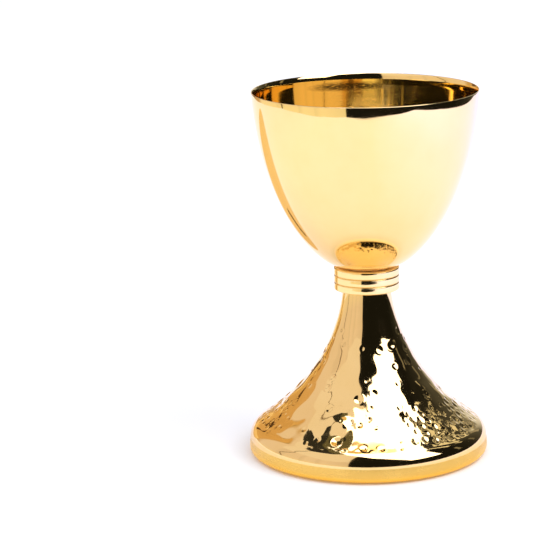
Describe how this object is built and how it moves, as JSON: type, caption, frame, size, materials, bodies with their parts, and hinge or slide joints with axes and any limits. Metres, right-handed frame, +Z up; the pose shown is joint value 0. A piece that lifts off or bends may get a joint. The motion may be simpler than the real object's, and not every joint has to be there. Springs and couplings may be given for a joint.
{
  "type": "communion chalice",
  "caption": "Footed cup with a plain egg-shaped bowl, a ringed collar and a hammered, trumpet-shaped foot.",
  "frame": {"origin": "centre of the foot's underside, in the plane it stands on", "axes": "+Z up along the axis of revolution, towards the mouth; +X and +Y across, with no marked front"},
  "size_m": [0.1152, 0.1152, 0.1758],
  "materials": {
    "gold_plate": "mirror-polished gold plate",
    "gold_hammered": "hand-hammered, polished gold plate",
    "brass_plain": "turned brass, unplated",
    "steel": "zinc-plated steel"
  },
  "bodies": {
    "foot": {"foot_shell": "gold_hammered", "base_ring": "brass_plain", "clamp_washer": "steel", "spring_washer": "steel", "hex_nut": "steel"},
    "collar": {"collar_ring_bottom": "gold_plate", "collar_ring_middle": "gold_plate", "collar_ring_top": "gold_plate"},
    "cup": {"bowl": "gold_plate", "bowl_boss": "brass_plain", "threaded_rod": "brass_plain"}
  },
  "joints": [
    {"name": "collar_turns", "type": "hinge", "parent": "foot", "child": "collar", "pos_m": [0, 0, 0.0852], "axis": [0, 0, 1], "range_deg": [0, 3600]},
    {"name": "bowl_rises", "type": "slide", "parent": "collar", "child": "cup", "axis": [0, 0, 1], "range_m": [0, 0.0125]}
  ],
  "couplings": [
    {"joint": "bowl_rises", "follows": "collar_turns", "m_per_rad": 0.00019894}
  ]
}
